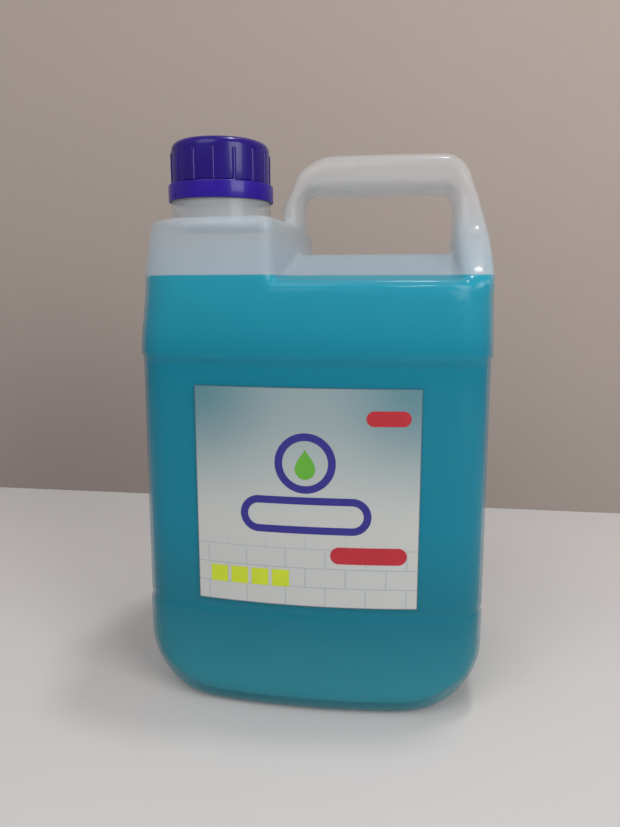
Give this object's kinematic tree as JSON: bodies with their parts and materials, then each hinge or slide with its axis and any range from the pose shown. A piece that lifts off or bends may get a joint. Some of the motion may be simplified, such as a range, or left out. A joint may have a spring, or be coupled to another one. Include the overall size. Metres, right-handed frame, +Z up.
{
  "type": "floor cleaner bottle",
  "caption": "Translucent blow moulded jerrycan bottle with a pinched-through handle, an off-centre neck, a ribbed screw cap with a tamper band, teal liquid and a front label.",
  "frame": {"origin": "centre of the bounding box's underside, on the surface that the bottle stands on", "axes": "+Z up, the label faces -Y, and the neck stands on the -X side"},
  "size_m": [0.143, 0.113, 0.2364],
  "materials": {
    "natural_hdpe": "natural milky polyethylene, satin",
    "teal_liquid": "dyed liquid",
    "label_film": "printed film, satin",
    "ink_blue": "printed colour",
    "ink_green": "printed colour",
    "ink_red": "printed colour",
    "ink_yellow": "printed colour",
    "violet_plastic": "moulded polypropylene, gloss",
    "liner_foam": "expanded polyethylene foam"
  },
  "bodies": {
    "container": {"bottle": "natural_hdpe", "liquid": "teal_liquid", "label": "label_film", "print_blue": "ink_blue", "print_green": "ink_green", "print_red": "ink_red", "print_yellow": "ink_yellow", "tamper_band": "violet_plastic"},
    "seal": {"cap_liner": "liner_foam"},
    "closure": {"cap": "violet_plastic"}
  },
  "joints": [
    {"name": "cap_rise", "type": "slide", "parent": "container", "child": "seal", "axis": [0, 0, 1], "range_m": [0, 0.0061]},
    {"name": "cap_turn", "type": "hinge", "parent": "seal", "child": "closure", "pos_m": [-0.046, 0, 0.22], "axis": [0, 0, 1], "range_deg": [0, 540]}
  ],
  "couplings": [
    {"joint": "cap_rise", "follows": "cap_turn", "m_per_rad": 0.00063662}
  ]
}
